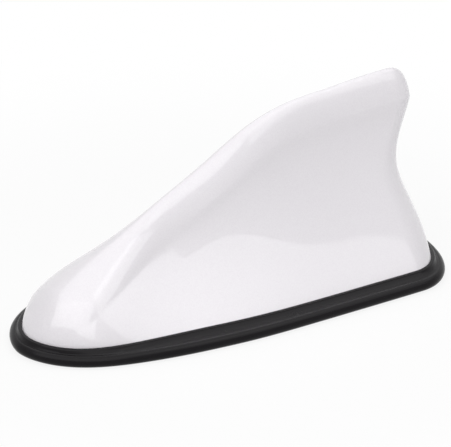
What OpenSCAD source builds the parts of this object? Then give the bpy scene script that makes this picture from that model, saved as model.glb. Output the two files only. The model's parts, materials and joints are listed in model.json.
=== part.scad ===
// Shark fin roof aerial, stick-on type, in millimetres.
// Nose towards -X, tail towards +X, Z up. The origin is the middle of the footprint, on the roof.
// The shell is one surface of two parameters: a station from nose to tail and a place up the section.

/* [Fin shell] */
// Length of the shell along its rim
fin_len = 160; // [152:1:168]
// Height of the crown above the rim
fin_height = 68; // [63:0.5:73]
// Greatest width of the shell at its rim
fin_w = 71; // [67:0.5:75]
// Width of the rounded crown at the tail
crown_w = 13; // [12:0.5:15]
// Height of the rounded crown above the crease
crown_h = 11; // [10:0.5:12]
// Share of the crown that is a straight slope, 0 is a half ellipse
crown_slope = 0.5; // [0.3:0.05:0.6]
// Wall of the moulding
shell_wall = 2.2; // [1.8:0.1:2.5]
// Length in which the ridge rises out of the nose
nose_rise = 11; // [9:0.5:14]
// Length in which the plan widens from the nose
nose_plan = 55; // [51:1:59]
// Rounding of the tail's corners at the rim
tail_round = 20; // [17:0.5:22]
// Rounding of the tail's corners at the crown
tip_round = 6; // [5.5:0.5:8]
// Exponent of the sides behind the nose, 1 is flat and more is hollow
side_hollow = 1.5; // [1.3:0.05:1.7]
// Exponent of the sides at the nose
nose_hollow = 1; // [0.9:0.05:1.2]
// Length in which the nose's dome eases into the hollow sides
dome_fade = 56; // [50:1:62]

/* [Gasket] */
// Height of the gasket's floor, which the rim stands on
seat_h = 2; // [1.6:0.1:2.6]
// Height of the lip's top above the roof
lip_top = 5.8; // [5.6:0.1:6.6]
// Thickness of the lip outside the shell
lip_t = 1.6; // [1.3:0.1:2]
// Reach of the bead beyond the rim
bead_out = 3.9; // [3.5:0.1:4.6]
// Height of the bead
bead_h = 4.4; // [4:0.1:4.8]
// Thickness of the wall inside the groove
groove_wall = 1.2; // [1:0.1:1.6]
// Width of the flange that the base plate stands on
flange_w = 5; // [4:0.5:6]
// Depth of the hollows beside the sealing ribs
rib_relief = 0.5; // [0.3:0.1:0.7]
// Distance of the middle sealing rib inside the rim
foot_out = 1.2; // [1:0.1:1.6]
// Width of the middle sealing rib
foot_w = 2.4; // [2:0.1:2.8]
// Width of the hollow inside the middle rib
inner_foot = 1.6; // [1.4:0.1:1.8]

/* [Base plate] */
// Thickness of the plate
plate_t = 2.5; // [2:0.1:3]
// Share of the spare length that lies between the front screw and the well
well_share = 0.265; // [0.2:0.005:0.35]
// Length of the well over the car's old aerial base
well_len = 44; // [38:1:46]
// Width of the base on each side of the well
well_side = 21.5; // [20.5:0.5:24]
// Height of the well's collar above the plate
collar_h = 10; // [9.8:0.1:11]
// Wall of the collar
collar_t = 1.6; // [1.4:0.1:2]

/* [Housing screws] */
// Distance of the front screw from the nose
front_screw_x = 21; // [20:0.5:23]
// Distance of the rear screws from the tail
rear_screw_in = 22; // [20:0.5:24]
// Distance of the rear screws inside the widest part of the rim
rear_screw_side = 16.5; // [15.5:0.5:17.5]
// Shank diameter of the housing screws
screw_d = 2.9; // [2.6:0.1:3.2]
// Head diameter of the housing screws
screw_head_d = 5.6; // [5:0.1:6]
// Head height of the housing screws
screw_head_h = 1.8; // [1.5:0.1:2]
// Length of the housing screws under the head
screw_len = 9.5; // [8:0.5:10]
// Outside diameter of the bosses in the shell
boss_d = 6.6; // [6:0.1:7]
// Thickness of the plate's seat under each boss
screw_seat_t = 2.2; // [1.8:0.1:2.6]
// Wall round each sunk screw head
sink_wall = 2; // [1.6:0.1:2.4]
// Depth of the pilot holes in the bosses
pilot_depth = 8; // [8:0.5:9]
// Thickness of the boss above its pilot hole
boss_floor = 1.2; // [1:0.1:1.6]
// Thickness of the ribs that tie the bosses to the sides
rib_t = 1.4; // [1.2:0.1:1.8]
// Height of the ribs' lower edges above the bosses' ends
rib_rise = 1; // [0.8:0.1:1.6]

/* [Amplifier board] */
// Gap between the well's collar and the board
board_gap = 7; // [6:0.5:9]
// Length of the board
board_len = 40; // [38:1:42]
// Width of the board
board_w = 26; // [25:0.5:27]
// Thickness of the board
board_t = 1.6; // [1.2:0.1:1.8]
// Height of the posts under the board
post_h = 3; // [2.5:0.5:4]
// Diameter of the posts
post_d = 5; // [4.5:0.5:6]
// Inset of the board's screws from its edges
board_inset = 3.5; // [3.2:0.1:4]
// Shank diameter of the board's screws
board_screw_d = 2; // [1.8:0.1:2.2]
// Head diameter of the board's screws
board_head_d = 3.6; // [3.4:0.1:4]
// Head height of the board's screws
board_head_h = 1.3; // [1.1:0.1:1.5]
// Length of the board's screws under the head
board_screw_len = 5.5; // [4.5:0.5:6]
// Depth of the pilot holes in the posts
post_pilot = 5; // [4.5:0.1:5.4]

/* [Aerial coil] */
// Distance of the coil's axis from the board's rear edge
coil_in = 8; // [7:0.5:10]
// Diameter of the coil's wire
wire_d = 0.9; // [0.8:0.1:1]
// Middle diameter of the coil's turns
coil_d = 8; // [7.6:0.1:8.2]
// Number of turns
coil_turns = 12; // [8:1:14]
// Room between the coil's top and the shell's crease
coil_headroom = 11; // [10:0.5:14]
// Thickness of the former's foot on the board
former_foot_h = 1.6; // [1.2:0.1:2]
// Thickness of the former's flange over the coil
former_flange_h = 1.2; // [1:0.1:1.6]
// Diameter of the foam cap on the former
foam_d = 7; // [6:0.5:7.5]

/* [Lead gland] */
// Bore of the gland that the lead passes through
gland_bore = 3.2; // [2.8:0.1:3.6]
// Diameter of the gland in the collar
gland_d = 6; // [5.6:0.1:6.4]
// Diameter of the gland's flanges
gland_flange_d = 8.4; // [8:0.1:8.8]
// Thickness of each flange
gland_flange_t = 1.2; // [1:0.1:1.6]

/* [Clearances] */
// Running gap between parts that slot together
fit_gap = 0.15; // [0.1:0.05:0.2]
// Gap of a screw in its hole
screw_gap = 0.15; // [0.1:0.05:0.2]
// Gap between the foam pad and the gasket
pad_gap = 0.4; // [0.3:0.1:0.8]
// Gap between the foam cap and the inside of the crown
foam_gap = 0.5; // [0.4:0.1:1]

/* [Fineness] */
// Stations from nose to tail on the shell
shell_rows = 44; // [36:4:48]
// Stations from nose to tail on each side of the gasket
seal_rows = 34; // [30:2:40]

/* [Hidden] */
$fn = 40;

// Control values of the shell's curves, as shares of its length, height, half width and crown
ridge_shares = [0.176, 0.342, 0.449, 0.602, 0.723, 0.886, 0.968, 0.975, 1.004, 1.001];
plan_shares = [0.905, 0.79, 0.84, 0.95, 0.97, 0.985, 1, 1];
crown_shares = [1.37, 1, 1.05, 1.22, 0.8, 0.88, 1.06];
tail_shares = [1, 0.998, 0.972, 0.943, 0.963, 1.005, 0.998];
ridge_exp = 1.85;
plan_exp_in = 2.4;
plan_exp_out = 1.7;
tail_exp = 2.1;
blend_exp = 3;
dome_exp = 2;
// Station at which the sides begin to turn hollow, and the length in which they do
hollow_from = 16;
hollow_grows = 64;
// Greatest share of the height that is crown
cap_share = 0.82;
// Height over the nose, in walls, at which the roof of the wall reaches its full thickness
nose_ease = 5;
side_rows = 9;
cap_rows = 6;
settle_steps = 8;
halving_steps = 18;
rib_steps = 4;
// A leaning wall is thicker when it is measured level
lean = 1.3;
// Angles of the bead's rounding, from its lowest point to its highest
bead_from = -80;
bead_to = 70;
bead_step = 25;
// Height of the lip's outward bend as a share of the lip
lip_bend = 0.6;
// Small slopes and rounding of the gasket's profile, and how high its groove holds the rim
lip_slope = 0.1;
lip_round = 0.4;
rib_slope = 0.5;
rim_hold = 1.8;
// Pan head: radius and height of its profile as shares of the head, and its cross recess
pan_profile = [[0, 0], [0.32, 0], [0.45, 0.25], [0.5, 0.6], [0.5, 1], [0, 1]];
recess_w = 0.16;
recess_l = 0.6;
recess_h = 0.6;
point_share = 0.3;
eps = 0.01;
tiny = 1e-9;

half_w = fin_w / 2;
rim_z = seat_h;
plate_top = seat_h + plate_t;
plate_edge = shell_wall * lean + groove_wall + 2 * fit_gap;
post_top = plate_top + post_h;
board_top = post_top + board_t;
well_w = fin_w - 2 * well_side;
rear_screw_y = half_w - rear_screw_side;
front_end = front_screw_x + screw_head_d / 2 + sink_wall + collar_t;
spare_len = fin_len - front_end - well_len - collar_t - board_gap - board_len;
well_x = front_end + spare_len * well_share;
well_end = well_x + well_len;
board_x = well_end + collar_t + board_gap;
board_end = board_x + board_len;
coil_x = board_end - coil_in;
screw_boss_h = screw_head_h + fit_gap + screw_seat_t;
screw_places = [
  [front_screw_x, 0],
  [fin_len - rear_screw_in, rear_screw_y],
  [fin_len - rear_screw_in, -rear_screw_y],
];
board_places = [
  [board_x + board_inset, board_w / 2 - board_inset],
  [board_x + board_inset, board_inset - board_w / 2],
  [board_end - board_inset, board_inset - board_w / 2],
];
gland_z = plate_top + gland_flange_d / 2 + fit_gap;
former_d = coil_d - wire_d - 2 * fit_gap;
coil_bottom = board_top + former_foot_h + wire_d / 2 + fit_gap;
coil_top = rim_z + shoulder(coil_x) - coil_headroom;

// Cubic blend through control values, which runs straight on past both ends
function control(c, i) = i < 0 ? 2 * c[0] - c[1]
  : i > len(c) - 1 ? 2 * c[len(c) - 1] - c[len(c) - 2] : c[i];
function blend(c, t) = let(
    n = len(c) - 1,
    u = clamp01(t) * n,
    i = min(floor(u), n - 1),
    f = u - i
  ) (pow(1 - f, 3) * control(c, i - 1)
    + (3 * pow(f, 3) - 6 * pow(f, 2) + 4) * control(c, i)
    + (-3 * pow(f, 3) + 3 * pow(f, 2) + 3 * f + 1) * control(c, i + 1)
    + pow(f, 3) * control(c, i + 2)) / 6;
function clamp01(t) = min(max(t, 0), 1);
// Rises from 0 with an upright tangent to 1, as a rounded corner does
function rounded(t, a, b) = pow(1 - pow(1 - clamp01(t), a), 1 / b);
// The smaller of two lengths, with a soft change from one to the other
function soft_min(a, b) = pow(pow(max(a, tiny), -blend_exp) + pow(b, -blend_exp), -1 / blend_exp);
function smooth(t) = let(k = clamp01(t)) k * k * (3 - 2 * k);

// Shell curves: x is the distance from the nose, z the height above the rim and t the depth below
// the outer skin, so that the inside of the wall is the same surface with smaller sizes
function shifted(x, t) = x - t * (1 - smooth(x / nose_rise / 2));
function thinned(h, t) = t == 0 ? h : h - t * clamp01(h / t / nose_ease);
function ridge(x, t = 0) = let(u = shifted(x, t))
  thinned(fin_height * blend(ridge_shares, u / fin_len) * rounded(u / nose_rise, ridge_exp, ridge_exp), t);
function plan(x, t = 0) = let(u = shifted(x, t))
  (half_w - t * lean) * blend(plan_shares, u / fin_len) * rounded(u / nose_plan, plan_exp_in, plan_exp_out);
function crown(x, t = 0) = soft_min(plan(x, t), crown_w / 2 * blend(crown_shares, x / fin_len) - t);
function cap_height(x, t = 0) = soft_min(cap_share * ridge(x, t), crown_h - t);
function shoulder(x, t = 0) = ridge(x, t) - cap_height(x, t);
function tail(z, t = 0) = fin_len * blend(tail_shares, z / fin_height) - t;
function corner(z, t = 0) = tail_round + (tip_round - tail_round) * clamp01(z / fin_height) - t / 2;
function narrowing(x, z, t = 0) = rounded((tail(z, t) - x) / corner(z, t), tail_exp, tail_exp);
// Half widths: the sides are hollow and meet the crown at a crease, and the nose is a round dome
function dome(x, z, t) = plan(x, t)
  * pow(1 - pow(clamp01(z / max(ridge(x, t), tiny)), dome_exp), 1 / dome_exp);
function domed(x, z, t, fin) = fin + (dome(x, z, t) - fin) * (1 - smooth(x / dome_fade));
function hollow(x) = nose_hollow + (side_hollow - nose_hollow) * smooth((x - hollow_from) / hollow_grows);
function side(x, z, t = 0) = domed(x, z, t, crown(x, t)
  + (plan(x, t) - crown(x, t)) * pow(1 - clamp01(z / max(shoulder(x, t), tiny)), hollow(x)));
function over_crown(x, a, t = 0) = domed(x, shoulder(x, t) + cap_height(x, t) * sin(a), t,
  crown(x, t) * (cos(a) + crown_slope * (1 - sin(a) - cos(a))));

// A point of the shell: share s from nose to tail, share f up the side or angle a round the crown
function shell_point(s, f, a, t, x, steps) = let(
    up = shoulder(x, t),
    z = a < 0 ? up * f : up + cap_height(x, t) * narrowing(x, up, t) * sin(a),
    y = (a < 0 ? side(x, z, t) : over_crown(x, a, t)) * narrowing(x, min(z, up), t)
  ) steps == 0 ? [x, y, z] : shell_point(s, f, a, t, t + s * (tail(min(z, up), t) - t), steps - 1);
function half_section(s, t) = [
  for (j = [0 : side_rows + cap_rows]) s == 0 ? [t, 0, 0] : shell_point(
    s,
    j / side_rows,
    j < side_rows ? -1 : 90 * (j - side_rows) / cap_rows,
    t,
    s * fin_len,
    settle_steps)
];
function mirrored(row) = concat(row, [for (j = [len(row) - 2 : -1 : 0]) [row[j].x, -row[j].y, row[j].z]]);
function share(i, n) = (1 - cos(180 * i / n)) / 2;
function unit(v) = v / max(norm(v), tiny);

// Width of the shell at one height, and its outline there, moved outwards by a distance
function level_y(x, z, t = 0) = let(
    up = shoulder(x, t),
    k = narrowing(x, min(z, up), t),
    over = asin(clamp01((z - up) / max(cap_height(x, t) * k, tiny)))
  ) (z > up ? over_crown(x, over, t) : side(x, z, t)) * k;
function nose_at(z, low, high, steps) = let(mid = (low + high) / 2) steps == 0 ? high
  : ridge(mid) < z ? nose_at(z, mid, high, steps - 1) : nose_at(z, low, mid, steps - 1);
function half_outline(z, n) = let(x0 = z > 0 ? nose_at(z, 0, nose_rise, halving_steps) : 0) [
  for (i = [0 : n]) let(x = x0 + (tail(z) - x0) * share(i, n)) [x, i == 0 || i == n ? 0 : level_y(x, z)]
];
function outline(z, n) = let(h = half_outline(z, n))
  concat(h, [for (i = [n - 1 : -1 : 1]) [h[i].x, -h[i].y]]);
function moved_outline(z, off, n) = let(p = outline(z, n), m = len(p)) [
  for (i = [0 : m - 1]) let(t = unit(p[(i + 1) % m] - p[(i + m - 1) % m])) p[i] + off * [-t.y, t.x]
];

module from_nose() {
  translate([-fin_len / 2, 0, 0]) children();
}

// Shell: outer and inner skins on the same grid of stations, joined along the rim
function ring_size() = 2 * (side_rows + cap_rows) + 1;
function tail_index(j) = min(j, ring_size() - 1 - j, side_rows);
function grid_index(i, j) = i == 0 ? 0
  : i < shell_rows ? 1 + (i - 1) * ring_size() + j
  : 1 + (shell_rows - 1) * ring_size() + tail_index(j);
function skin_size() = 1 + (shell_rows - 1) * ring_size() + side_rows + 1;
function skin_points(t) = let(
    g = [for (i = [0 : shell_rows]) mirrored(half_section(share(i, shell_rows), t))]
  ) concat(
    [g[0][0]],
    [for (i = [1 : shell_rows - 1]) each g[i]],
    [for (j = [0 : side_rows]) g[shell_rows][j]]);
function quad(a, b, c, d) = concat(
  a == b || b == c || a == c ? [] : [[a, b, c]],
  a == c || c == d || a == d ? [] : [[a, c, d]]);
function skin_faces(base, outward) = [
  for (i = [0 : shell_rows - 1]) for (j = [0 : ring_size() - 2])
    let(
      a = base + grid_index(i, j),
      b = base + grid_index(i, j + 1),
      c = base + grid_index(i + 1, j + 1),
      d = base + grid_index(i + 1, j)
    ) for (f = outward ? quad(a, d, c, b) : quad(a, b, c, d)) f
];
function rim_faces(base) = [
  for (i = [0 : shell_rows - 1]) for (j = [0, ring_size() - 1])
    let(
      a = grid_index(i, j),
      b = grid_index(i + 1, j)
    ) for (f = j == 0 ? quad(a, base + a, base + b, b) : quad(a, b, base + b, base + a)) f
];

module shell_skin() {
  polyhedron(
    points = concat(skin_points(0), skin_points(shell_wall)),
    faces = concat(skin_faces(0, true), skin_faces(skin_size(), false), rim_faces(skin_size())),
    convexity = 4);
}

// Rib across the shell from a boss to the side wall, its outer edges buried in the wall.
// A boss on the middle line has one rib that reaches both sides.
module boss_rib(place, z_low, z_high) {
  steps = rib_steps;
  way = place.y < 0 ? -1 : 1;
  outer = [
    for (k = [0 : steps]) let(z = z_low + (z_high - z_low) * k / steps)
      [way * (level_y(place.x, z) - shell_wall * lean / 2), z]
  ];
  inner = place.y == 0
    ? [for (k = [steps : -1 : 0]) [-outer[k].x, outer[k].y]]
    : [[place.y, z_high], [place.y, z_low]];
  translate([place.x - rib_t / 2, 0, 0])
    rotate([90, 0, 90])
      linear_extrude(rib_t) polygon(concat(outer, inner));
}

module fin_shell() {
  boss_low = screw_boss_h;
  boss_high = screw_boss_h + pilot_depth + boss_floor;
  color("#eceaf0")
    from_nose() translate([0, 0, rim_z])
      difference() {
        union() {
          shell_skin();
          for (p = screw_places) {
            translate([p.x, p.y, boss_low]) cylinder(d = boss_d, h = boss_high - boss_low);
            boss_rib(p, boss_low + rib_rise, boss_high);
          }
        }
        for (p = screw_places)
          translate([p.x, p.y, boss_low - eps]) cylinder(d = screw_d + 2 * screw_gap, h = pilot_depth + eps);
      }
}

// Gasket: one profile carried round the shell's outline. Each row holds the height on the shell
// whose outline it follows, its own height above the roof and its distance outside that outline.
function bead_point(a) = let(r = bead_h / 2) [0, r + r * sin(a), bead_out - r + r * cos(a)];
function seal_profile() = let(
    lip_z = lip_top - rim_z,
    inner = -(shell_wall * lean + fit_gap),
    plate_z = min(plate_t, rim_hold),
    wall_in = inner - groove_wall,
    edge = wall_in - flange_w,
    outer_rib = bead_out - bead_h / 2 - rib_slope * 2
  ) concat(
    [for (a = [bead_from : bead_step : bead_to]) bead_point(a)],
    [
      [0, bead_h - lip_slope, lip_t + 2 * lip_slope],
      [lip_z * lip_bend, bead_h + lip_slope, lip_t + lip_slope],
      [lip_z, lip_top - lip_round, lip_t - lip_slope],
      [lip_z, lip_top, lip_t - lip_round - lip_slope],
      [lip_z, lip_top, fit_gap],
      [lip_z / 2, rim_z + lip_z / 2, fit_gap],
      [0, rim_z, fit_gap],
      [0, rim_z, inner],
      [plate_z, rim_z + plate_z, inner],
      [plate_z, rim_z + plate_z, wall_in],
      [plate_t, rim_z, wall_in],
      [plate_t, rim_z, edge],
      [plate_t, 0, edge],
    ],
    hollow_rows(-foot_out - foot_w - inner_foot, -foot_out - foot_w),
    hollow_rows(-foot_out, outer_rib));

// Two flat feet run round the underside of the gasket, with a shallow hollow beside each
function hollow_rows(a, b) = [
  [0, 0, a],
  [0, rib_relief, a + rib_slope],
  [0, rib_relief, b - rib_slope],
  [0, 0, b],
];

module base_gasket() {
  rows = seal_profile();
  count = 2 * seal_rows;
  rings = [
    for (r = rows) let(o = moved_outline(r[0], r[2], seal_rows)) for (p = o) [p.x, p.y, r[1]]
  ];
  faces = [
    for (k = [0 : len(rows) - 1]) for (i = [0 : count - 1])
      let(
        kk = (k + 1) % len(rows),
        ii = (i + 1) % count,
        a = k * count + i,
        b = k * count + ii,
        c = kk * count + ii,
        d = kk * count + i
      ) for (f = quad(a, b, c, d)) f
  ];
  color("#262529") from_nose() polyhedron(points = rings, faces = faces, convexity = 6);
}

// Slot with round ends, for the well and what lines it
module well_solid(grow, h) {
  linear_extrude(h) {
    translate([well_x + well_w / 2, -well_w / 2 - grow]) square([well_len - well_w, well_w + 2 * grow]);
    for (x = [well_x + well_w / 2, well_end - well_w / 2]) translate([x, 0]) circle(well_w / 2 + grow);
  }
}

module base_plate() {
  color("#1e1e21") from_nose() translate([0, 0, seat_h])
    difference() {
      union() {
        linear_extrude(plate_t) polygon(moved_outline(plate_t, -plate_edge, seal_rows));
        well_solid(collar_t, plate_t + collar_h);
        for (p = screw_places) translate([p.x, p.y, 0])
          cylinder(d = screw_head_d + 2 * sink_wall, h = screw_boss_h);
        for (p = board_places) translate([p.x, p.y, 0]) cylinder(d = post_d, h = plate_t + post_h);
      }
      translate([0, 0, -eps]) well_solid(0, plate_t + collar_h + 2 * eps);
      for (p = screw_places) translate([p.x, p.y, -eps]) {
        cylinder(d = screw_head_d + 2 * screw_gap, h = screw_head_h + fit_gap + eps);
        cylinder(d = screw_d + 4 * screw_gap, h = screw_boss_h + 2 * eps);
      }
      for (p = board_places) translate([p.x, p.y, plate_t + post_h - post_pilot])
        cylinder(d = board_screw_d + 2 * screw_gap, h = post_pilot + eps);
      translate([well_end - well_w / 2, 0, gland_z - seat_h]) rotate([0, 90, 0]) {
        cylinder(d = gland_d + 2 * fit_gap, h = well_w);
        cylinder(d = gland_flange_d + 2 * fit_gap, h = well_w / 2);
      }
    }
}

module adhesive_pad() {
  edge = plate_edge + flange_w + pad_gap;
  color("#3a3a3d") from_nose()
    difference() {
      linear_extrude(seat_h) polygon(moved_outline(plate_t, -edge, seal_rows));
      translate([0, 0, -eps]) well_solid(collar_t, seat_h + 2 * eps);
    }
}

// Screw with a pan head and a cross recess, pointing up, its head's underside at z = 0
module screw(d, head_d, head_h, length) {
  point_h = d / 2;
  slot_w = head_d * recess_w;
  slot_l = head_d * recess_l;
  difference() {
    union() {
      translate([0, 0, -head_h])
        rotate_extrude() polygon([for (p = pan_profile) [p.x * head_d, p.y * head_h]]);
      translate([0, 0, -eps]) cylinder(d = d, h = length - point_h + eps);
      translate([0, 0, length - point_h]) cylinder(d1 = d, d2 = d * point_share, h = point_h);
    }
    for (turn = [0, 90]) rotate([0, 0, turn])
      translate([-slot_l / 2, -slot_w / 2, -head_h - eps]) cube([slot_l, slot_w, head_h * recess_h + eps]);
  }
}

module base_screw(index) {
  p = screw_places[index];
  color("#a9acb2") from_nose()
    translate([p.x, p.y, seat_h + screw_head_h + fit_gap])
      screw(screw_d, screw_head_d, screw_head_h, screw_len);
}

module board_screw(index) {
  p = board_places[index];
  color("#a9acb2") from_nose()
    translate([p.x, p.y, board_top]) mirror([0, 0, 1])
      screw(board_screw_d, board_head_d, board_head_h, board_screw_len);
}

module amplifier_board() {
  color("#1f6b45") from_nose() translate([board_x, 0, post_top])
    difference() {
      translate([0, -board_w / 2, 0]) cube([board_len, board_w, board_t]);
      for (p = board_places) translate([p.x - board_x, p.y, -eps])
        cylinder(d = board_screw_d + 4 * screw_gap, h = board_t + 2 * eps);
    }
}

// Places a child on the board, measured from the board's front edge and middle line
module on_board(x, y) {
  from_nose() translate([board_x + x, y, board_top]) children();
}

// The board's parts stand between the header's pins and the coil's foot
header_x = 1;
header_size = [6, 8, 6];
header_wall = 0.8;
header_back = 1.6;
pin_w = 0.6;
pin_pitch = 2;
pin_out = 1.4;
pin_back = 0.4;
foot_rim = 1.5;
parts_from = header_x + header_size.x + pin_out;
parts_to = board_len - coil_in - (coil_d + wire_d) / 2 - foot_rim;
parts_mid = (parts_from + parts_to) / 2;
column_in = 1.6;
row_pitch = 2.2;
parts_shift = 0.7;
function part_place(column, row) = [
  column == 0 ? parts_from + column_in : parts_to - column_in,
  (row - 1.5) * row_pitch + parts_shift
];

// Eight-pin chip with gull-wing leads on its long sides
chip_at = [parts_mid, -1];
chip_size = [5, 4, 1.5];
chip_lift = 0.1;
lead_pitch = 1.27;
lead_size = [0.45, 1, 0.9];
lead_out = 0.8;
module amplifier_chip() {
  color("#27282b") on_board(chip_at.x, chip_at.y) {
    translate([-chip_size.x / 2, -chip_size.y / 2, chip_lift]) cube(chip_size);
    for (k = [-1.5 : 1 : 1.5]) for (turn = [0, 180]) rotate([0, 0, turn])
      translate([k * lead_pitch - lead_size.x / 2, chip_size.y / 2 + lead_out - lead_size.y, 0])
        cube(lead_size);
  }
}

// Can on a square base, with a rolled groove near its foot
can_at = [parts_mid, 8];
can_r = 3.15;
can_h = 5.8;
can_base = 6.6;
can_base_h = 0.9;
can_groove = 0.25;
can_sunk = 0.1;
module electrolytic_capacitor() {
  foot = can_base_h - can_sunk;
  color("#2b2f6b") on_board(can_at.x, can_at.y) {
    translate([0, 0, foot]) rotate_extrude() polygon([
      [0, 0],
      [can_r - can_groove, 0],
      [can_r, can_groove],
      [can_r, can_base_h],
      [can_r - can_groove, can_base_h + can_groove],
      [can_r, can_base_h + 2 * can_groove],
      [can_r, can_h - can_groove],
      [can_r - can_groove, can_h],
      [0, can_h],
    ]);
    translate([-can_base / 2, -can_base / 2, 0]) cube([can_base, can_base, can_base_h]);
  }
}

// Ring choke: a square-section ring with spaced loops of wire round it
choke_at = [parts_mid, -8];
ring_in = 2.6;
ring_w = 1.6;
ring_h = 2.6;
loop_wire = 0.4;
loop_gap = 0.03;
loops = 9;
loop_turn = 30;
module choke_core() {
  color("#3d4a3f") on_board(choke_at.x, choke_at.y)
    translate([0, 0, loop_wire]) rotate_extrude() translate([ring_in, 0]) square([ring_w, ring_h]);
}

module choke_winding() {
  inner = [ring_w + 2 * loop_gap, ring_h + 2 * loop_gap];
  outer = [ring_w + 2 * loop_wire - 2 * loop_gap, ring_h + 2 * loop_wire - 2 * loop_gap];
  color("#b5673a") on_board(choke_at.x, choke_at.y)
    for (k = [0 : loops - 1]) rotate([0, 0, (k + 2) * loop_turn])
      translate([ring_in + ring_w / 2, loop_wire / 2, loop_wire + ring_h / 2]) rotate([90, 0, 0])
        linear_extrude(loop_wire) difference() {
          square(outer, center = true);
          square(inner, center = true);
        }
}

// Chip part: a ceramic block with a metal cap over each end
chip_part_l = 2;
chip_part_w = 1.25;
cap_over = 0.03;
module chip_part(h, cap) {
  translate([-chip_part_l / 2, -chip_part_w / 2, 0]) cube([chip_part_l, chip_part_w, h]);
  for (turn = [0, 180]) rotate([0, 0, turn])
    translate([chip_part_l / 2 - cap, -chip_part_w / 2 - cap_over, 0])
      cube([cap, chip_part_w + 2 * cap_over, h + cap_over]);
}

capacitor_places = [part_place(0, 0), part_place(0, 2), part_place(1, 1), part_place(1, 3)];
capacitor_h = 0.8;
capacitor_cap = 0.45;
module smd_capacitors() {
  color("#b79a6c") for (p = capacitor_places) on_board(p.x, p.y) chip_part(capacitor_h, capacitor_cap);
}

resistor_places = [part_place(0, 1), part_place(0, 3), part_place(1, 0), part_place(1, 2)];
resistor_h = 0.5;
resistor_cap = 0.4;
module smd_resistors() {
  color("#222428") for (p = resistor_places) on_board(p.x, p.y) chip_part(resistor_h, resistor_cap);
}

// Three-way header for the lead, open towards the gland
module lead_header() {
  pocket = header_size - [header_back, 2 * header_wall, 2 * header_wall];
  color("#e9e4d6") on_board(header_x, -header_size.y / 2)
    difference() {
      cube(header_size);
      translate([-eps, header_wall, header_wall]) cube(pocket + [eps, 0, 0]);
      for (k = [-1 : 1])
        translate([header_size.x - header_back - eps, header_size.y / 2 + k * pin_pitch - pin_w / 2,
          header_size.z / 2 - pin_w / 2])
          cube([header_back + 2 * eps, pin_w, pin_w]);
    }
}

module header_pins() {
  front = header_wall + pin_back;
  color("#c9b26b") on_board(header_x, 0)
    for (k = [-1 : 1]) translate([0, k * pin_pitch - pin_w / 2, 0]) {
      translate([front, 0, header_size.z / 2 - pin_w / 2])
        cube([header_size.x - front + pin_out, pin_w, pin_w]);
      translate([header_size.x + pin_out - pin_w, 0, 0]) cube([pin_w, pin_w, header_size.z / 2 + pin_w / 2]);
    }
}

// Coil former: foot on the board, core through the coil and a flange above it
flange_rim = 0.3;
ferrule_d = 2.2;
ferrule_h = 1.4;
wire_gap = 0.1;
module coil_former() {
  color("#d8d6cf") from_nose() translate([coil_x, 0, board_top])
    difference() {
      union() {
        cylinder(d = coil_d + wire_d + 2 * foot_rim, h = former_foot_h);
        cylinder(d = former_d, h = coil_top - board_top);
        translate([0, 0, coil_top - board_top])
          cylinder(d = coil_d + wire_d + 2 * flange_rim, h = former_flange_h);
      }
      translate([coil_d / 2, 0, -eps])
        cylinder(d = ferrule_d + 2 * fit_gap, h = former_foot_h + 2 * eps);
    }
}

// The coil's wire: up a straight leg from the board and then round its turns
coil_sides = 6;
coil_steps = 14;
leg_rows = 1;
function coil_rise() = (coil_top - fit_gap - wire_d / 2 - coil_bottom) / coil_turns;
function coil_center(k) = k < leg_rows ? [coil_d / 2, 0, board_top + eps]
  : let(a = 360 * (k - leg_rows) / coil_steps)
    [coil_d / 2 * cos(a), coil_d / 2 * sin(a), coil_bottom + coil_rise() * a / 360];
function coil_side(k) = let(a = k < leg_rows ? 0 : 360 * (k - leg_rows) / coil_steps) [cos(a), sin(a), 0];
function coil_up(k) = k < leg_rows ? [0, -1, 0]
  : k == leg_rows ? unit([0, -1, 1])
  : let(a = 360 * (k - leg_rows) / coil_steps)
    unit([sin(a) * coil_rise(), -cos(a) * coil_rise(), PI * coil_d]);

module aerial_coil() {
  rows = leg_rows + coil_turns * coil_steps;
  points = [
    for (k = [0 : rows]) for (j = [0 : coil_sides - 1]) let(a = 360 * j / coil_sides)
      coil_center(k) + wire_d / 2 * (cos(a) * coil_side(k) + sin(a) * coil_up(k))
  ];
  faces = concat(
    [[for (j = [coil_sides - 1 : -1 : 0]) j]],
    [
      for (k = [0 : rows - 1]) for (j = [0 : coil_sides - 1])
        let(jj = (j + 1) % coil_sides, a = k * coil_sides)
          for (f = quad(a + j, a + jj, a + coil_sides + jj, a + coil_sides + j)) f
    ],
    [[for (j = [0 : coil_sides - 1]) rows * coil_sides + j]]);
  color("#b98a4e") from_nose() translate([coil_x, 0, 0])
    polyhedron(points = points, faces = faces, convexity = 10);
}

module coil_ferrule() {
  color("#c7a64f") from_nose() translate([coil_x + coil_d / 2, 0, board_top])
    difference() {
      cylinder(d = ferrule_d, h = ferrule_h);
      translate([0, 0, -eps]) cylinder(d = wire_d + 2 * wire_gap, h = ferrule_h + 2 * eps);
    }
}

// Greatest height at which the inside of the shell is wider than a half width
function roof_over(x, y, low, high, steps) = let(mid = (low + high) / 2) steps == 0 ? low
  : level_y(x, mid, shell_wall) > y ? roof_over(x, y, mid, high, steps - 1)
  : roof_over(x, y, low, mid, steps - 1);

module foam_cap() {
  low = coil_top + former_flange_h;
  high = rim_z + roof_over(coil_x - foam_d / 2, foam_d / 2, 0, ridge(coil_x), halving_steps) - foam_gap;
  color("#4a4a4e") from_nose() translate([coil_x, 0, low]) cylinder(d = foam_d, h = high - low);
}

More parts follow.
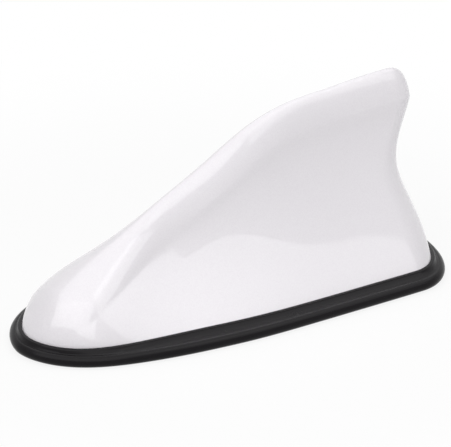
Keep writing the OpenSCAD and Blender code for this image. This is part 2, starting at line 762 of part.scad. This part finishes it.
module lead_gland() {
  neck = collar_t + 2 * fit_gap;
  color("#202022") from_nose() translate([well_end - fit_gap, 0, gland_z]) rotate([0, 90, 0])
    difference() {
      union() {
        cylinder(d = gland_d, h = neck);
        translate([0, 0, -gland_flange_t]) cylinder(d = gland_flange_d, h = gland_flange_t);
        translate([0, 0, neck]) cylinder(d = gland_flange_d, h = gland_flange_t);
      }
      translate([0, 0, -gland_flange_t - eps])
        cylinder(d = gland_bore, h = neck + 2 * gland_flange_t + 2 * eps);
    }
}

fin_shell();
base_gasket();
base_plate();
adhesive_pad();
base_screw(0);  // base_screw_1
base_screw(1);  // base_screw_2
base_screw(2);  // base_screw_3
amplifier_board();
board_screw(0);  // board_screw_1
board_screw(1);  // board_screw_2
board_screw(2);  // board_screw_3
amplifier_chip();
electrolytic_capacitor();
choke_core();
choke_winding();
smd_capacitors();
smd_resistors();
lead_header();
header_pins();
coil_former();
aerial_coil();
coil_ferrule();
foam_cap();
lead_gland();
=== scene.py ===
"""Looks of a stick-on shark fin roof aerial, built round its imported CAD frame.

The shell and the gasket are the same surfaces as in the part, worked out on finer grids, so they
stand for those two nodes. Everything else is the CAD node itself with its own finish.
Lengths in the shape functions are millimetres from the nose (x) and above the shell's rim (z),
as in the part; `placed` turns them into metres in the shared frame.
"""

import json
import math

import bpy
import numpy as np
from mathutils import Matrix


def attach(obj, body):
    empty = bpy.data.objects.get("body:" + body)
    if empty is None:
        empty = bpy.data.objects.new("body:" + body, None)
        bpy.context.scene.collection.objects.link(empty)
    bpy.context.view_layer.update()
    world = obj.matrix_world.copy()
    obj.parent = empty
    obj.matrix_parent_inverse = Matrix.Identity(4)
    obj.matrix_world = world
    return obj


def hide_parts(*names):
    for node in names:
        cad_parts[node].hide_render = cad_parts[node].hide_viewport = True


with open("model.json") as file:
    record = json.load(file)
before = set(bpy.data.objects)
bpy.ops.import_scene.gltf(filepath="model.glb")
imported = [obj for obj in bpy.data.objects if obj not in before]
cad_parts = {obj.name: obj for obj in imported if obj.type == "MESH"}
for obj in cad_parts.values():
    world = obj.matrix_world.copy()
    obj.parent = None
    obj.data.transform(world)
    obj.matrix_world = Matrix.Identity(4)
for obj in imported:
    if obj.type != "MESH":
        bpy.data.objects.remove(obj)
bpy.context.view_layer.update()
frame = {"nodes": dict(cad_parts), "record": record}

# Sizes in mm, as in the part
FIN_LEN, FIN_HEIGHT, FIN_W = 160.0, 68.0, 71.0
CROWN_W, CROWN_H, WALL = 13.0, 11.0, 2.2
NOSE_RISE, NOSE_PLAN = 11.0, 55.0
TAIL_ROUND, TIP_ROUND = 20.0, 6.0
SIDE_HOLLOW, NOSE_HOLLOW, HOLLOW_FROM, HOLLOW_GROWS, CROWN_SLOPE = 1.5, 1.0, 0.1, 0.4, 0.5
DOME_FADE, DOME_EXP = 0.35, 2.0
CAP_SHARE, NOSE_EASE, LEAN = 0.82, 5.0, 1.3
RIDGE_EXP, PLAN_EXP_IN, PLAN_EXP_OUT, TAIL_EXP, BLEND_EXP = 1.85, 2.4, 1.7, 2.1, 3.0
RIDGE = [0.176, 0.342, 0.449, 0.602, 0.723, 0.886, 0.968, 0.975, 1.004, 1.001]
PLAN = [0.905, 0.79, 0.84, 0.95, 0.97, 0.985, 1, 1]
CROWN = [1.37, 1, 1.05, 1.22, 0.8, 0.88, 1.06]
TAIL = [1, 0.998, 0.972, 0.943, 0.963, 1.005, 0.998]
SEAT_H, LIP_TOP, LIP_T, BEAD_OUT, BEAD_H = 2.0, 5.8, 1.6, 3.9, 4.4
GROOVE_WALL, FLANGE_W, RIB_RELIEF, PLATE_T = 1.2, 5.0, 0.5, 2.5
FOOT_OUT, FOOT_W, INNER_FOOT, FIT_GAP, RIM_HOLD = 1.2, 2.4, 1.6, 0.15, 1.8
BOSSES = [(21.0, 0.0), (138.0, 19.0), (138.0, -19.0)]
BOSS_LOW, BOSS_HIGH, BOSS_D, PILOT_D, PILOT_H, RIB_T = 4.15, 13.35, 6.6, 3.2, 8.0, 1.4
# this much of the size, so that the finer curves stay inside the part's own box
WITHIN_BOX = 0.9996

# Grids: rows along the fin, places up its side and round its crown, points along a side of the
# seal, points round a boss and rows up a rib
ROWS, SIDES, CAPS, SEAL_POINTS, ROUND_POINTS, RIB_ROWS = 208, 24, 18, 150, 32, 5
# turns in which a station settles, and halvings that find the nose at a height
SETTLE_TURNS, HALVINGS = 12, 40


# Shape of the fin
def blend(shares, t):
    """Uniform cubic B-spline through control shares, run straight on past both ends."""
    c = np.asarray(shares, float)
    c = np.concatenate([[2 * c[0] - c[1]], c, [2 * c[-1] - c[-2]]])
    n = len(shares) - 1
    u = np.clip(t, 0, 1) * n
    i = np.minimum(np.floor(u).astype(int), n - 1)
    f = u - i
    return ((1 - f) ** 3 * c[i] + (3 * f ** 3 - 6 * f ** 2 + 4) * c[i + 1]
            + (-3 * f ** 3 + 3 * f ** 2 + 3 * f + 1) * c[i + 2] + f ** 3 * c[i + 3]) / 6


def rounded(t, a, b):
    """Rises from 0, with an upright tangent, to 1: the b-th root of 1 - (1 - t)^a."""
    return (1 - (1 - np.clip(t, 0, 1)) ** a) ** (1 / b)


def soft_min(a, b):
    """The smaller of two lengths with a soft change between them, an inverse power mean."""
    return (np.maximum(a, 1e-9) ** -BLEND_EXP + b ** -BLEND_EXP) ** (-1 / BLEND_EXP)


def smooth(t):
    """Eases from 0 to 1 as 3k^2 - 2k^3."""
    k = np.clip(t, 0, 1)
    return k * k * (3 - 2 * k)


def shifted(x, t):
    """Distance from the nose as the skin t below the surface counts it, near the nose only."""
    return x - t * (1 - smooth(x / NOSE_RISE / 2))


def ridge(x, t=0.0):
    """Height of the top line: a spline times the nose's rounding, less the wall."""
    u = shifted(x, t)
    h = FIN_HEIGHT * blend(RIDGE, u / FIN_LEN) * rounded(u / NOSE_RISE, RIDGE_EXP, RIDGE_EXP)
    return h if t == 0 else h - t * np.clip(h / t / NOSE_EASE, 0, 1)


def plan(x, t=0.0):
    """Half width at the rim: a spline times the nose's rounding in plan."""
    u = shifted(x, t)
    return ((FIN_W / 2 - t * LEAN) * blend(PLAN, u / FIN_LEN)
            * rounded(u / NOSE_PLAN, PLAN_EXP_IN, PLAN_EXP_OUT))


def crown(x, t=0.0):
    """Half width of the rounded crown."""
    return soft_min(plan(x, t), CROWN_W / 2 * blend(CROWN, x / FIN_LEN) - t)


def cap_height(x, t=0.0):
    """Height of the crown above the crease."""
    return soft_min(CAP_SHARE * ridge(x, t), CROWN_H - t)


def shoulder(x, t=0.0):
    """Height of the crease."""
    return ridge(x, t) - cap_height(x, t)


def tail(z, t=0.0):
    """Where the tail edge stands at a height."""
    return FIN_LEN * blend(TAIL, z / FIN_HEIGHT) - t


def narrowing(x, z, t=0.0):
    """Share of the width left near the tail, which rounds its two corners."""
    corner = TAIL_ROUND + (TIP_ROUND - TAIL_ROUND) * np.clip(z / FIN_HEIGHT, 0, 1) - t / 2
    return rounded((tail(z, t) - x) / corner, TAIL_EXP, TAIL_EXP)


def dome(x, z, t=0.0):
    """Half width of a section of the nose, a quarter ellipse from the rim to the ridge."""
    f = np.clip(z / np.maximum(ridge(x, t), 1e-9), 0, 1)
    return plan(x, t) * (1 - f ** DOME_EXP) ** (1 / DOME_EXP)


def hollow(x):
    """Exponent of the side's section, 1 for a flat side and more for a hollow one."""
    return NOSE_HOLLOW + (SIDE_HOLLOW - NOSE_HOLLOW) * smooth((x / FIN_LEN - HOLLOW_FROM) / HOLLOW_GROWS)


def side(x, z, t=0.0):
    """Half width below the crease: from the rim in to the crown as (1 - height share)^hollow, and
    over the nose the dome instead."""
    f = np.clip(z / np.maximum(shoulder(x, t), 1e-9), 0, 1)
    fin = crown(x, t) + (plan(x, t) - crown(x, t)) * (1 - f) ** hollow(x)
    return fin + (dome(x, z, t) - fin) * noseness(x)


def over_crown(x, a, t=0.0):
    """Half width at an angle round the crown, part ellipse and part straight slope."""
    fin = crown(x, t) * (np.cos(a) + CROWN_SLOPE * (1 - np.sin(a) - np.cos(a)))
    return fin + (dome(x, shoulder(x, t) + cap_height(x, t) * np.sin(a), t) - fin) * noseness(x)


def noseness(x):
    """1 over the nose, easing to 0 behind it."""
    return 1 - smooth(x / FIN_LEN / DOME_FADE)


def skin(rows, sides, caps, t):
    """Grid of the skin t below the surface: stations from nose to tail by places up one side, over
    the crown and down the other. A station's x settles by turns, because the tail edge leans."""
    s = ((1 - np.cos(np.pi * np.arange(rows + 1) / rows)) / 2)[:, None]
    j = np.arange(sides + caps + 1)[None, :]
    low = j < sides
    a = np.where(low, 0, np.pi / 2 * (j - sides) / caps)
    x = s * FIN_LEN * np.ones(j.shape)
    for turn in range(SETTLE_TURNS + 1):
        up = shoulder(x, t)
        z = np.where(low, up * j / sides, up + cap_height(x, t) * narrowing(x, up, t) * np.sin(a))
        y = np.where(low, side(x, z, t), over_crown(x, a, t)) * narrowing(x, np.minimum(z, up), t)
        if turn < SETTLE_TURNS:
            x = t + s * (tail(np.minimum(z, up), t) - t)
    half = np.stack([x, y, z + SEAT_H], 2)
    half[0] = [t, 0, SEAT_H]
    half[:, -1, 1] = 0
    half[-1, :, 1] = 0
    other = half[:, -2::-1] * [1, -1, 1]
    return np.concatenate([half, other], 1)


def level_y(x, z):
    """Half width of the outer skin at a height below the crease, or over the nose."""
    return side(x, z) * narrowing(x, z)


def outline(z, n, off):
    """Closed outline of the shell at a height, moved outwards by off along its own normal."""
    low, high = 0.0, NOSE_RISE
    for _ in range(HALVINGS if z > 0 else 0):
        mid = (low + high) / 2
        low, high = (mid, high) if ridge(np.array(mid)) < z else (low, mid)
    x0 = high if z > 0 else 0.0
    x = x0 + (tail(z) - x0) * (1 - np.cos(np.pi * np.arange(n + 1) / n)) / 2
    y = level_y(x, np.full(n + 1, float(z)))
    y[[0, -1]] = 0
    p = np.concatenate([np.stack([x, y], 1), np.stack([x, -y], 1)[-2:0:-1]])
    t = np.roll(p, -1, 0) - np.roll(p, 1, 0)
    t /= np.linalg.norm(t, axis=1)[:, None]
    return p + off * np.stack([-t[:, 1], t[:, 0]], 1)


# Meshes
def placed(points):
    """Millimetres from the nose to metres in the shared frame."""
    return (np.asarray(points, float).reshape(-1, 3) - [FIN_LEN / 2, 0, 0]) * WITHIN_BOX / 1000


def grid_faces(rows, cols, start=0, close=False):
    """Quads between neighbouring rows of a grid; close joins the last column to the first."""
    i, j = np.meshgrid(np.arange(rows - 1), np.arange(cols if close else cols - 1), indexing="ij")
    k = (j + 1) % cols
    q = np.stack([i * cols + j, i * cols + k, (i + 1) * cols + k, (i + 1) * cols + j], -1)
    return q.reshape(-1, 4) + start


def welded(points, faces):
    """Merges points that are equal to a nanometre and drops each face corner that this doubles."""
    _, first, back = np.unique(np.round(points, 9), axis=0, return_index=True, return_inverse=True)
    back, kept = back.reshape(-1), []
    for group in faces:
        ring = back[group]
        kept.append([r[m].tolist() for r, m in zip(ring, ring != np.roll(ring, 1, 1))])
    return points[first], [r for group in kept for r in group if len(r) > 2]


def piece(name, points, faces, sharp_angle=40):
    """A mesh object at the origin, smooth but for edges that turn by more than sharp_angle."""
    mesh = bpy.data.meshes.new(name)
    mesh.from_pydata(points.tolist(), [], faces)
    mesh.update()
    mesh.shade_smooth()
    mesh.set_sharp_from_angle(angle=math.radians(sharp_angle))
    ob = bpy.data.objects.new(name, mesh)
    bpy.context.scene.collection.objects.link(ob)
    return ob


def tube_points(x, y, z_low, z_high, radius):
    """Two rings of a cylinder's wall, bottom then top."""
    a = 2 * np.pi * np.arange(ROUND_POINTS) / ROUND_POINTS
    ring = np.stack([x + radius * np.cos(a), y + radius * np.sin(a), 0 * a], 1)
    return np.stack([ring + [0, 0, z_low], ring + [0, 0, z_high]])


def make_shell():
    """Outer and inner skins joined along the rim, with the screw bosses and ribs inside."""
    outer, inner = skin(ROWS, SIDES, CAPS, 0.0), skin(ROWS, SIDES, CAPS, WALL)
    cols = outer.shape[1]
    n = (ROWS + 1) * cols
    parts = [grid_faces(ROWS + 1, cols), grid_faces(ROWS + 1, cols, n)[:, ::-1]]
    i = np.arange(ROWS)
    for j, way in ((0, -1), (cols - 1, 1)):
        a, b = i * cols + j, (i + 1) * cols + j
        parts.append(np.stack([a, a + n, b + n, b][::way], 1))
    points = [outer.reshape(-1, 3), inner.reshape(-1, 3)]
    start = 2 * n
    for x, y in BOSSES:
        wall = tube_points(x, y, SEAT_H + BOSS_LOW, SEAT_H + BOSS_HIGH, BOSS_D / 2)
        bore = tube_points(x, y, SEAT_H + BOSS_LOW, SEAT_H + BOSS_LOW + PILOT_H, PILOT_D / 2)
        m = wall.shape[1]
        points += [wall.reshape(-1, 3), bore.reshape(-1, 3),
                   np.array([[x, y, SEAT_H + BOSS_HIGH], [x, y, SEAT_H + BOSS_LOW + PILOT_H]])]
        parts += [grid_faces(2, m, start, True), grid_faces(2, m, start + 2 * m, True)[:, ::-1]]
        k, kk = np.arange(m), (np.arange(m) + 1) % m
        parts.append(np.stack([k, k + 2 * m, kk + 2 * m, kk], 1) + start)
        top, floor = start + 4 * m, start + 4 * m + 1
        parts.append(np.stack([k + start + m, kk + start + m, kk * 0 + top], 1))
        parts.append(np.stack([kk + start + 3 * m, k + start + 3 * m, kk * 0 + floor], 1))
        start += 4 * m + 2
        z = np.linspace(BOSS_LOW + 1, BOSS_HIGH, RIB_ROWS)
        edge = level_y(np.full(RIB_ROWS, x), z) - WALL * LEAN / 2
        inside = -edge if y == 0 else np.full(RIB_ROWS, abs(y))
        way = -1 if y < 0 else 1
        rib = np.stack([np.stack([np.full(RIB_ROWS, x + s * RIB_T / 2), way * e, z + SEAT_H], 1)
                        for s in (-1, 1) for e in (inside, edge)])
        points.append(rib.reshape(-1, 3))
        loop = np.array([0, 1, 3, 2]) * RIB_ROWS
        for a, b in zip(loop, np.roll(loop, -1)):
            k = np.arange(RIB_ROWS - 1)
            q = np.stack([a + k, b + k, b + k + 1, a + k + 1], 1) + start
            parts.append(q if way < 0 else q[:, ::-1])
        for end, flip in ((0, 1), (RIB_ROWS - 1, -1)):
            parts.append((loop + end)[::flip * way][None] + start)
        start += 4 * RIB_ROWS
    points, faces = welded(placed(np.concatenate(points)), parts)
    return piece("moulded_shell", points, faces, 50)


def seal_profile():
    """Rows of (height on the shell to follow, height above the roof, distance outside): round the
    bead, up the lip, down the groove, and under the flat feet."""
    inner = -(WALL * LEAN + FIT_GAP)
    wall_in, r, lip_z = inner - GROOVE_WALL, BEAD_H / 2, LIP_TOP - SEAT_H
    edge = wall_in - FLANGE_W
    rows = [(0, r + r * math.sin(a), BEAD_OUT - r + r * math.cos(a))
            for a in np.radians(np.arange(-80, 71, 6))]
    rows += [(0, BEAD_H - 0.02, LIP_T + 0.42), (0, BEAD_H - 0.08, LIP_T + 0.2),
             (0.3, BEAD_H, LIP_T + 0.06), (lip_z * 0.6, BEAD_H + 0.15, LIP_T),
             (lip_z * 0.8, BEAD_H + 0.6, LIP_T - 0.03), (lip_z, LIP_TOP - 0.4, LIP_T - 0.1),
             (lip_z, LIP_TOP - 0.2, LIP_T - 0.17), (lip_z, LIP_TOP - 0.06, LIP_T - 0.31),
             (lip_z, LIP_TOP, LIP_T - 0.5), (lip_z, LIP_TOP, FIT_GAP),
             (lip_z / 2, SEAT_H + lip_z / 2, FIT_GAP), (0, SEAT_H, FIT_GAP), (0, SEAT_H, inner),
             (RIM_HOLD, SEAT_H + RIM_HOLD, inner), (RIM_HOLD, SEAT_H + RIM_HOLD, wall_in),
             (PLATE_T, SEAT_H, wall_in), (PLATE_T, SEAT_H, edge), (PLATE_T, 0, edge)]
    foot = [(-FOOT_OUT - FOOT_W - INNER_FOOT, -FOOT_OUT - FOOT_W), (-FOOT_OUT, BEAD_OUT - r - 1)]
    for a, b in foot:
        rows += [(0, 0, a), (0, RIB_RELIEF, a + 0.5), (0, RIB_RELIEF, b - 0.5), (0, 0, b)]
    return rows


def make_gasket():
    """The seal's profile carried round the shell's outline, as a closed ring of rings."""
    rows = seal_profile()
    rings = [np.insert(outline(z, SEAL_POINTS, off), 2, up, axis=1) for z, up, off in rows]
    cols = 2 * SEAL_POINTS
    faces = grid_faces(len(rows), cols, 0, True)
    last = grid_faces(2, cols, 0, True)
    last = np.where(last >= cols, last - cols, last + (len(rows) - 1) * cols)
    points, faces = welded(placed(np.concatenate(rings)), [faces[:, ::-1], last[:, ::-1]])
    return piece("moulded_seal", points, faces, 38)


# Finishes
# places of a colour mix's two inputs and of its result among the mix node's sockets
MIX_A, MIX_B, MIXED = 6, 7, 2


def colour(code, alpha=1.0):
    """sRGB hex code to a linear colour."""
    c = [int(code[k:k + 2], 16) / 255 for k in (0, 2, 4)]
    return tuple(v / 12.92 if v <= 0.04045 else ((v + 0.055) / 1.055) ** 2.4 for v in c) + (alpha,)


def add(tree, kind, inputs=None, **settings):
    """Adds a node: settings are its own, inputs are values or (node, output) pairs to link."""
    made = tree.nodes.new(kind)
    for key, value in settings.items():
        setattr(made, key, value)
    for key, value in (inputs or {}).items():
        if isinstance(value, tuple) and isinstance(value[0], bpy.types.Node):
            tree.links.new(value[0].outputs[value[1]], made.inputs[key])
        else:
            made.inputs[key].default_value = value
    return made


def per_metre(mm):
    """Scale of a noise whose features are mm apart, on Object coordinates in metres."""
    return 1000 / mm


def finish_of(name, base, rough, mottle=(1.0, 0.03), grain=(0.5, 0.02), rough_swing=0.05, **shader):
    """A moulded, drawn or rolled finish: base colour mottled by a share of itself over mottle[0] mm,
    roughness that swings with it, and grain[0] mm bumps of grain[1] mm height."""
    mat = bpy.data.materials.new(name)
    mat.use_nodes = True
    tree = mat.node_tree
    tree.nodes.clear()
    place = add(tree, "ShaderNodeTexCoord")
    patch = add(tree, "ShaderNodeTexNoise", {"Vector": (place, "Object"), "Scale": per_metre(mottle[0]),
                                             "Detail": 3.0, "Roughness": 0.6})
    dark = tuple(c * (1 - mottle[1]) for c in colour(base)[:3]) + (1,)
    light = tuple(min(c * (1 + mottle[1]), 1) for c in colour(base)[:3]) + (1,)
    tint = add(tree, "ShaderNodeMix", {"Factor": (patch, "Fac"), MIX_A: dark, MIX_B: light},
               data_type="RGBA")
    shine = add(tree, "ShaderNodeMapRange", {"Value": (patch, "Fac"), "From Min": 0.3, "From Max": 0.7,
                                             "To Min": rough - rough_swing, "To Max": rough + rough_swing})
    fine = add(tree, "ShaderNodeTexNoise", {"Vector": (place, "Object"), "Scale": per_metre(grain[0]),
                                            "Detail": 2.0})
    bump = add(tree, "ShaderNodeBump", {"Height": (fine, "Fac"), "Strength": 1.0,
                                        "Distance": grain[1] / 1000})
    body = add(tree, "ShaderNodeBsdfPrincipled", {"Roughness": (shine, "Result"),
                                                  "Normal": (bump, "Normal"), **shader})
    tree.links.new(tint.outputs[MIXED], body.inputs["Base Color"])
    add(tree, "ShaderNodeOutputMaterial", {"Surface": (body, "BSDF")})
    return mat


def pearl_lacquer():
    """Sprayed three-coat pearl white on moulded ABS: a white ground with fine mica flakes, whose random
    cells are a little lighter in the base colour as flake tone and partly a painted glint, and tilt the
    surface by tiny bumps, under a clear coat with the faint waviness of a sprayed surface."""
    mat = bpy.data.materials.new("pearl_white_lacquer")
    mat.use_nodes = True
    tree = mat.node_tree
    tree.nodes.clear()
    place = add(tree, "ShaderNodeTexCoord")
    # real flakes are some 0.03 mm; 0.35 mm cells are as fine as the picture shows
    flake = add(tree, "ShaderNodeTexVoronoi", {"Vector": (place, "Object"), "Scale": per_metre(0.35)})
    # flake cells a little lighter at random in the base colour: flake tone and partly a painted glint
    flake_tone_and_painted_glint = add(tree, "ShaderNodeMapRange", {"Value": (flake, "Color"), "From Min": 0.0, "From Max": 1.0,
                                             "To Min": 0.0, "To Max": 1.0})
    ground = add(tree, "ShaderNodeMix", {"Factor": (flake_tone_and_painted_glint, "Result"), MIX_A: colour("ECE8ED"),
                                         MIX_B: colour("F1EEF2")}, data_type="RGBA")
    # the spray leaves waves about 3 mm long and some microns high
    wave = add(tree, "ShaderNodeTexNoise", {"Vector": (place, "Object"), "Scale": per_metre(3.0),
                                            "Detail": 1.0})
    peel = add(tree, "ShaderNodeBump", {"Height": (wave, "Fac"), "Strength": 1.0, "Distance": 0.000006})
    sparkle = add(tree, "ShaderNodeBump", {"Height": (flake_tone_and_painted_glint, "Result"), "Strength": 1.0,
                                           "Distance": 0.000004, "Normal": (peel, "Normal")})
    body = add(tree, "ShaderNodeBsdfPrincipled", {
        "Roughness": 0.42, "Metallic": 0.05, "Specular IOR Level": 0.3, "Normal": (sparkle, "Normal"),
        "Coat Weight": 1.0, "Coat IOR": 1.62, "Coat Roughness": 0.035, "Coat Normal": (peel, "Normal")})
    tree.links.new(ground.outputs[MIXED], body.inputs["Base Color"])
    add(tree, "ShaderNodeOutputMaterial", {"Surface": (body, "BSDF")})
    return mat


FINISHES = {
    # moulded EPDM has a satin skin with a faint grey bloom
    "seal_rubber": finish_of("moulded_epdm_rubber", "0C090D", 0.24, (6.0, 0.25), (0.6, 0.004), 0.04,
                             **{"Specular IOR Level": 0.15}),
    # ABS from a spark-eroded tool has an even matt grain
    "black_plastic": finish_of("grained_black_abs", "1C1C1E", 0.5, (4.0, 0.12), (0.35, 0.02), 0.05),
    # polyethylene foam shows its cells as small pits
    "foam_tape": finish_of("closed_cell_foam", "3A3A3C", 0.85, (2.0, 0.2), (0.8, 0.12), 0.05),
    # zinc plate over rolled steel, faintly clouded
    "plated_steel": finish_of("zinc_plated_steel", "B9BCC1", 0.3, (1.5, 0.08), (0.2, 0.003), 0.08,
                              Metallic=1.0),
    # solder mask lies smooth over the glass weave
    "board_laminate": finish_of("green_solder_mask", "1B5B38", 0.32, (5.0, 0.12), (0.7, 0.01), 0.05),
    "can_sleeve": finish_of("shrunk_vinyl_sleeve", "262B5E", 0.35, (3.0, 0.08), (0.8, 0.01), 0.04),
    "ferrite": finish_of("sintered_ferrite", "3B403C", 0.6, (0.8, 0.2), (0.25, 0.02), 0.08),
    "copper_wire": finish_of("drawn_copper_alloy", "C08A55", 0.26, (2.0, 0.06), (0.3, 0.003), 0.05,
                             Metallic=1.0),
    "chip_ceramic": finish_of("fired_ceramic", "A98F68", 0.5, (0.6, 0.1), (0.2, 0.01), 0.05),
    "natural_nylon": finish_of("natural_nylon", "DEDBCF", 0.42, (3.0, 0.04), (0.8, 0.01), 0.05,
                               **{"Subsurface Weight": 0.1}),
}
FINISHES["pearl_paint"] = pearl_lacquer()


def give(ob, finish):
    """Puts one finish on every slot of an object."""
    if not ob.data.materials:
        ob.data.materials.append(finish)
    for k in range(len(ob.data.materials)):
        ob.data.materials[k] = finish


for part in frame["record"]["subparts"]:
    give(frame["nodes"][part["node"]], FINISHES[part["material_slot"]])

for make, name, slot in ((make_shell, "fin_shell", "pearl_paint"),
                         (make_gasket, "base_gasket", "seal_rubber")):
    made = make()
    give(made, FINISHES[slot])
    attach(made, "root")
    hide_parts(name)


# Floor, light and camera
def seen_plainly(tree):
    """1 for what the camera, a gloss or a clear body sees, and 0 for light on its way to a surface."""
    ray = add(tree, "ShaderNodeLightPath")
    seen = add(tree, "ShaderNodeMath", {0: (ray, "Is Camera Ray"), 1: (ray, "Is Glossy Ray")},
               operation="MAXIMUM")
    return add(tree, "ShaderNodeMath", {0: (seen, "Value"), 1: (ray, "Is Transmission Ray")},
               operation="MAXIMUM")


def make_floor():
    """Pale floor that keeps the object's shadow and fades to plain white away from it."""
    mesh = bpy.data.meshes.new("floor")
    mesh.from_pydata([(-6, -6, 0), (6, -6, 0), (6, 6, 0), (-6, 6, 0)], [], [(0, 1, 2, 3)])
    ob = bpy.data.objects.new("floor", mesh)
    bpy.context.scene.collection.objects.link(ob)
    mat = bpy.data.materials.new("white_sweep")
    mat.use_nodes = True
    tree = mat.node_tree
    tree.nodes.clear()
    place = add(tree, "ShaderNodeTexCoord")
    reach = add(tree, "ShaderNodeVectorMath", {0: (place, "Object")}, operation="LENGTH")
    fade = add(tree, "ShaderNodeMapRange", {"Value": (reach, "Value"), "From Min": 0.08, "From Max": 0.24,
                                            "To Min": 0.85, "To Max": 1.0}, interpolation_type="SMOOTHSTEP")
    share = add(tree, "ShaderNodeMath", {0: (seen_plainly(tree), "Value"), 1: (fade, "Result")},
                operation="MULTIPLY")
    paper = add(tree, "ShaderNodeBsdfDiffuse", {"Color": colour("FAFAFA")})
    white = add(tree, "ShaderNodeEmission", {"Color": (1, 1, 1, 1), "Strength": 1.0})
    both = add(tree, "ShaderNodeMixShader", {0: (share, "Value"), 1: (paper, "BSDF"), 2: (white, "Emission")})
    add(tree, "ShaderNodeOutputMaterial", {"Surface": (both, "Shader")})
    mesh.materials.append(mat)


def make_world(strength):
    """Even light from all round, and plain white where the camera or a gloss looks past the floor."""
    world = bpy.data.worlds.new("studio")
    bpy.context.scene.world = world
    world.use_nodes = True
    tree = world.node_tree
    tree.nodes.clear()
    lit = add(tree, "ShaderNodeBackground", {"Color": (1, 1, 1, 1), "Strength": strength})
    white = add(tree, "ShaderNodeBackground", {"Color": (1, 1, 1, 1), "Strength": 1.0})
    both = add(tree, "ShaderNodeMixShader", {0: (seen_plainly(tree), "Value"), 1: (lit, "Background"),
                                             2: (white, "Background")})
    add(tree, "ShaderNodeOutputWorld", {"Surface": (both, "Shader")})


def aimed(ob, place, target):
    """Places an object and turns its -Z axis to a target, with its X axis level."""
    back = np.array(place, float) - np.array(target, float)
    back /= np.linalg.norm(back)
    right = np.cross([0, 0, 1], back)
    right /= np.linalg.norm(right)
    up = np.cross(back, right)
    ob.matrix_world = Matrix([[*axes, at] for *axes, at in zip(right, up, back, place)] + [[0, 0, 0, 1]])


def bearing(turn, rise, away):
    """The place at an angle round from +X, an angle up from the floor and a distance in metres."""
    turn, rise = math.radians(turn), math.radians(rise)
    return away * np.array([math.cos(turn) * math.cos(rise), math.sin(turn) * math.cos(rise),
                            math.sin(rise)])


def softbox(name, place, size, power, target=(0, 0, 0.03)):
    """A rectangular soft lamp."""
    lamp = bpy.data.lights.new(name, "AREA")
    lamp.shape, lamp.size, lamp.size_y, lamp.energy = "RECTANGLE", size[0], size[1], power
    ob = bpy.data.objects.new(name, lamp)
    bpy.context.scene.collection.objects.link(ob)
    aimed(ob, place, target)


def make_camera():
    """The photograph's view: 33.9 degrees to the nose side, 25 degrees up, a long lens."""
    turn, rise, away = math.radians(-33.9), math.radians(25.0), 0.9689
    target = np.array([0.0012, 0, 0.0272])
    back = np.array([math.sin(turn) * math.cos(rise), -math.cos(turn) * math.cos(rise), math.sin(rise)])
    cam = bpy.data.cameras.new("camera")
    cam.sensor_fit, cam.sensor_width, cam.lens = "HORIZONTAL", 36.0, 2765.7 / 451 * 36.0
    cam.clip_start, cam.clip_end = 0.01, 50
    cam.dof.use_dof = False
    ob = bpy.data.objects.new("camera", cam)
    bpy.context.scene.collection.objects.link(ob)
    aimed(ob, target + back * away, target)
    bpy.context.scene.camera = ob


make_floor()
make_world(0.14)
# the key lights the nose and gives its broad highlight, the front lamp the lower side's lighter band
softbox("key", bearing(-147, 44, 1.05), (1.75, 0.78), 5.9)
softbox("front", bearing(-60, 49, 1.3), (0.8, 0.85), 2.2)
softbox("overhead", (0.2, 0.12, 1.6), (2.4, 2.2), 16.5)
make_camera()

bpy.context.scene.view_settings.view_transform = "Standard"
